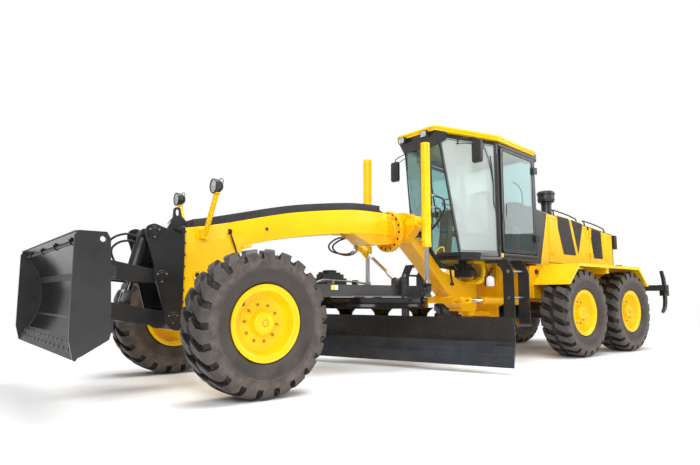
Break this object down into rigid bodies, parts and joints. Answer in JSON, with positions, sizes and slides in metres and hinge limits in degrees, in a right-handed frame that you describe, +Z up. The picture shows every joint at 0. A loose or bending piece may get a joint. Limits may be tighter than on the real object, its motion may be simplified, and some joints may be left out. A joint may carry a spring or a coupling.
{
  "type": "motor grader",
  "caption": "Motor grader with an arched front beam, turning moldboard, front blade, glazed cab, tandem rear wheels and rear ripper.",
  "frame": {"origin": "on the ground under the middle of the machine, halfway between the front blade's front edge and the ripper's rear face", "axes": "+X forward, +Y to the machine's left, +Z up"},
  "size_m": [10.62, 3.4567, 3.3748],
  "materials": {
    "yellow_paint": "semi-gloss",
    "black_paint": "satin",
    "gloss_black_paint": "gloss",
    "dark_grey_paint": "satin",
    "tyre": "matte",
    "chrome": "polished",
    "glass": "clear",
    "cast_iron": "matte",
    "seat_fabric": "woven",
    "black_plastic": "matte"
  },
  "bodies": {
    "rear_frame": {"rear_frame": "black_paint", "tandem_axle": "yellow_paint", "rear_fenders": "yellow_paint", "engine_block": "cast_iron", "hood_shell": "yellow_paint", "hood_top": "black_paint", "cab_frame": "black_paint", "cab_roof": "black_paint", "cab_glass": "glass", "operator_station": "seat_fabric", "access_ladders": "black_paint", "cab_fittings": "black_plastic"},
    "front_frame": {"front_frame": "yellow_paint", "beam_cover": "black_paint", "front_axle": "yellow_paint", "dozer_mount": "dark_grey_paint", "headlamps": "yellow_paint"},
    "wheel_front_left": {"tyre_front_left": "tyre", "rim_front_left": "yellow_paint"},
    "wheel_front_right": {"tyre_front_right": "tyre", "rim_front_right": "yellow_paint"},
    "wheel_middle_left": {"tyre_middle_left": "tyre", "rim_middle_left": "yellow_paint"},
    "wheel_middle_right": {"tyre_middle_right": "tyre", "rim_middle_right": "yellow_paint"},
    "wheel_rear_left": {"tyre_rear_left": "tyre", "rim_rear_left": "yellow_paint"},
    "wheel_rear_right": {"tyre_rear_right": "tyre", "rim_rear_right": "yellow_paint"},
    "lean_bracket_left": {"lean_bracket_left": "yellow_paint"},
    "knuckle_left": {"knuckle_left": "yellow_paint"},
    "lean_bracket_right": {"lean_bracket_right": "yellow_paint"},
    "knuckle_right": {"knuckle_right": "yellow_paint"},
    "lean_bar": {"lean_bar": "yellow_paint"},
    "drawbar": {"drawbar": "dark_grey_paint"},
    "circle": {"circle": "black_paint"},
    "blade_carrier": {"blade_carrier": "black_paint"},
    "moldboard": {"moldboard": "gloss_black_paint"},
    "lift_barrels": {"lift_barrels": "black_paint"},
    "lift_rods": {"lift_rods": "chrome"},
    "swing_barrel": {"swing_barrel": "yellow_paint"},
    "swing_rod": {"swing_rod": "chrome"},
    "artic_barrel_left": {"artic_barrel_left": "black_paint"},
    "artic_rod_left": {"artic_rod_left": "chrome"},
    "artic_barrel_right": {"artic_barrel_right": "black_paint"},
    "artic_rod_right": {"artic_rod_right": "chrome"},
    "dozer_arms": {"dozer_arms": "dark_grey_paint"},
    "dozer_links": {"dozer_links": "dark_grey_paint"},
    "dozer_blade": {"dozer_blade": "dark_grey_paint"},
    "dozer_barrel": {"dozer_barrel": "black_paint"},
    "dozer_rod": {"dozer_rod": "chrome"},
    "ripper_frame": {"ripper_frame": "black_paint"},
    "ripper_barrel": {"ripper_barrel": "black_paint"},
    "ripper_rod": {"ripper_rod": "chrome"},
    "cab_door_left": {"cab_door_left": "black_paint"},
    "engine_door_front_left": {"engine_door_front_left": "yellow_paint"},
    "engine_door_rear_left": {"engine_door_rear_left": "yellow_paint"},
    "cab_door_right": {"cab_door_right": "black_paint"},
    "engine_door_front_right": {"engine_door_front_right": "yellow_paint"},
    "engine_door_rear_right": {"engine_door_rear_right": "yellow_paint"}
  },
  "joints": [
    {"name": "articulation", "type": "hinge", "parent": "rear_frame", "child": "front_frame", "pos_m": [-0.65, 0, 0.92], "axis": [0, 0, 1], "range_deg": [-25, 25]},
    {"name": "wheel_front_left_spin", "type": "hinge", "parent": "knuckle_left", "child": "wheel_front_left", "pos_m": [3.7, 1.075, 0.672], "axis": [0, 1, 0], "continuous": true},
    {"name": "wheel_front_right_spin", "type": "hinge", "parent": "knuckle_right", "child": "wheel_front_right", "pos_m": [3.7, -1.075, 0.672], "axis": [0, 1, 0], "continuous": true},
    {"name": "wheel_middle_left_spin", "type": "hinge", "parent": "rear_frame", "child": "wheel_middle_left", "pos_m": [-1.88, 1.075, 0.672], "axis": [0, 1, 0], "continuous": true},
    {"name": "wheel_middle_right_spin", "type": "hinge", "parent": "rear_frame", "child": "wheel_middle_right", "pos_m": [-1.88, -1.075, 0.672], "axis": [0, 1, 0], "continuous": true},
    {"name": "wheel_rear_left_spin", "type": "hinge", "parent": "rear_frame", "child": "wheel_rear_left", "pos_m": [-3.42, 1.075, 0.672], "axis": [0, 1, 0], "continuous": true},
    {"name": "wheel_rear_right_spin", "type": "hinge", "parent": "rear_frame", "child": "wheel_rear_right", "pos_m": [-3.42, -1.075, 0.672], "axis": [0, 1, 0], "continuous": true},
    {"name": "wheel_lean_left", "type": "hinge", "parent": "front_frame", "child": "lean_bracket_left", "pos_m": [3.7, 0.8, 0.5], "axis": [1, 0, 0], "range_deg": [-17, 17]},
    {"name": "steer_left", "type": "hinge", "parent": "lean_bracket_left", "child": "knuckle_left", "pos_m": [3.7, 0.8, 0.672], "axis": [0, 0, 1], "range_deg": [-45, 45]},
    {"name": "wheel_lean_right", "type": "hinge", "parent": "front_frame", "child": "lean_bracket_right", "pos_m": [3.7, -0.8, 0.5], "axis": [1, 0, 0], "range_deg": [-17, 17]},
    {"name": "steer_right", "type": "hinge", "parent": "lean_bracket_right", "child": "knuckle_right", "pos_m": [3.7, -0.8, 0.672], "axis": [0, 0, 1], "range_deg": [-45, 45]},
    {"name": "lean_bar_pivot", "type": "hinge", "parent": "lean_bracket_left", "child": "lean_bar", "pos_m": [3.739, 0.8, 0.9], "axis": [1, 0, 0], "range_deg": [-17, 17]},
    {"name": "drawbar_lift", "type": "hinge", "parent": "front_frame", "child": "drawbar", "pos_m": [3.29, 0, 0.97], "axis": [0, 1, 0], "range_deg": [-9, 6.5]},
    {"name": "lift_cylinder_tilt", "type": "hinge", "parent": "front_frame", "child": "lift_barrels", "pos_m": [0.93, 0, 1.909], "axis": [0, 1, 0], "range_deg": [-1, 1]},
    {"name": "lift_rod_slide", "type": "slide", "parent": "lift_barrels", "child": "lift_rods", "axis": [0, 0, 1], "range_m": [-0.38, 0.28]},
    {"name": "swing_cylinder_pivot", "type": "hinge", "parent": "front_frame", "child": "swing_barrel", "pos_m": [1.255, -0.65, 1.8], "axis": [1, 0, 0], "range_deg": [-12, 9]},
    {"name": "swing_rod_slide", "type": "slide", "parent": "swing_barrel", "child": "swing_rod", "axis": [0, 0.824, -0.5665], "range_m": [-0.14, 0.19]},
    {"name": "circle_turn", "type": "hinge", "parent": "drawbar", "child": "circle", "pos_m": [1.42, 0, 0.83], "axis": [0, 0, 1], "range_deg": [-66, 24]},
    {"name": "blade_tip", "type": "hinge", "parent": "circle", "child": "blade_carrier", "pos_m": [1.11192, -0.11826, 0.255], "axis": [-0.3584, 0.9336, 0], "range_deg": [-5, 25]},
    {"name": "blade_shift", "type": "slide", "parent": "blade_carrier", "child": "moldboard", "axis": [0.3584, -0.9336, 0], "range_m": [-0.5, 0.5]},
    {"name": "artic_cylinder_pivot_left", "type": "hinge", "parent": "rear_frame", "child": "artic_barrel_left", "pos_m": [-1.12, 0.55, 0.858], "axis": [0, 0, 1], "range_deg": [-17, 17]},
    {"name": "artic_rod_slide_left", "type": "slide", "parent": "artic_barrel_left", "child": "artic_rod_left", "axis": [1, 0, 0], "range_m": [-0.24, 0.24]},
    {"name": "artic_cylinder_pivot_right", "type": "hinge", "parent": "rear_frame", "child": "artic_barrel_right", "pos_m": [-1.12, -0.55, 0.858], "axis": [0, 0, 1], "range_deg": [-17, 17]},
    {"name": "artic_rod_slide_right", "type": "slide", "parent": "artic_barrel_right", "child": "artic_rod_right", "axis": [1, 0, 0], "range_m": [-0.24, 0.24]},
    {"name": "front_blade_lift", "type": "hinge", "parent": "front_frame", "child": "dozer_arms", "pos_m": [4.194, 0, 0.698], "axis": [0, -1, 0], "range_deg": [-45, 8]},
    {"name": "front_blade_links", "type": "hinge", "parent": "front_frame", "child": "dozer_links", "pos_m": [4.32, 0, 1.1], "axis": [0, -1, 0], "range_deg": [-45, 8]},
    {"name": "front_blade_level", "type": "hinge", "parent": "dozer_arms", "child": "dozer_blade", "pos_m": [4.834, 0, 0.688], "axis": [0, -1, 0], "range_deg": [-8, 45]},
    {"name": "front_cylinder_pivot", "type": "hinge", "parent": "front_frame", "child": "dozer_barrel", "pos_m": [4.409, 0, 1.53], "axis": [0, -1, 0], "range_deg": [-4, 2]},
    {"name": "front_rod_slide", "type": "slide", "parent": "dozer_barrel", "child": "dozer_rod", "axis": [0.2429, 0, -0.9701], "range_m": [-0.07, 0.34]},
    {"name": "ripper_lift", "type": "hinge", "parent": "rear_frame", "child": "ripper_frame", "pos_m": [-4.56, 0, 0.6], "axis": [0, 1, 0], "range_deg": [-50, 8]},
    {"name": "ripper_cylinder_pivot", "type": "hinge", "parent": "rear_frame", "child": "ripper_barrel", "pos_m": [-4.56, 0, 1.29], "axis": [0, 1, 0], "range_deg": [-4, 1]},
    {"name": "ripper_rod_slide", "type": "slide", "parent": "ripper_barrel", "child": "ripper_rod", "axis": [-0.4125, 0, -0.911], "range_m": [-0.05, 0.25]},
    {"name": "cab_door_left_hinge", "type": "hinge", "parent": "rear_frame", "child": "cab_door_left", "pos_m": [-1.44, 0.772, 2.3], "axis": [0, 0, 1], "range_deg": [0, 105]},
    {"name": "engine_door_front_left_hinge", "type": "hinge", "parent": "rear_frame", "child": "engine_door_front_left", "pos_m": [-3.376, 0.564, 1.8], "axis": [0, 0, 1], "range_deg": [0, 85]},
    {"name": "engine_door_rear_left_hinge", "type": "hinge", "parent": "rear_frame", "child": "engine_door_rear_left", "pos_m": [-3.464, 0.564, 1.8], "axis": [0, 0, -1], "range_deg": [0, 85]},
    {"name": "cab_door_right_hinge", "type": "hinge", "parent": "rear_frame", "child": "cab_door_right", "pos_m": [-1.44, -0.772, 2.3], "axis": [0, 0, -1], "range_deg": [0, 105]},
    {"name": "engine_door_front_right_hinge", "type": "hinge", "parent": "rear_frame", "child": "engine_door_front_right", "pos_m": [-3.376, -0.564, 1.8], "axis": [0, 0, -1], "range_deg": [0, 85]},
    {"name": "engine_door_rear_right_hinge", "type": "hinge", "parent": "rear_frame", "child": "engine_door_rear_right", "pos_m": [-3.464, -0.564, 1.8], "axis": [0, 0, 1], "range_deg": [0, 85]}
  ],
  "couplings": [
    {"joint": "wheel_lean_right", "follows": "wheel_lean_left", "ratio": 1},
    {"joint": "steer_right", "follows": "steer_left", "ratio": 1},
    {"joint": "lean_bar_pivot", "follows": "wheel_lean_left", "ratio": -1},
    {"joint": "lift_cylinder_tilt", "follows": "drawbar_lift", "ratio": 0.0227},
    {"joint": "lift_rod_slide", "follows": "drawbar_lift", "m_per_rad": 2.3509},
    {"joint": "swing_cylinder_pivot", "follows": "drawbar_lift", "ratio": 1.2573},
    {"joint": "swing_rod_slide", "follows": "drawbar_lift", "m_per_rad": -1.1743},
    {"joint": "artic_cylinder_pivot_left", "follows": "articulation", "ratio": 0.6443},
    {"joint": "artic_rod_slide_left", "follows": "articulation", "m_per_rad": -0.5416},
    {"joint": "artic_cylinder_pivot_right", "follows": "articulation", "ratio": 0.6443},
    {"joint": "artic_rod_slide_right", "follows": "articulation", "m_per_rad": 0.5416},
    {"joint": "front_blade_links", "follows": "front_blade_lift", "ratio": 1},
    {"joint": "front_blade_level", "follows": "front_blade_lift", "ratio": -1},
    {"joint": "front_cylinder_pivot", "follows": "front_blade_lift", "ratio": 0.0721},
    {"joint": "front_rod_slide", "follows": "front_blade_lift", "m_per_rad": -0.417},
    {"joint": "ripper_cylinder_pivot", "follows": "ripper_lift", "ratio": 0.0691},
    {"joint": "ripper_rod_slide", "follows": "ripper_lift", "m_per_rad": -0.2742}
  ]
}
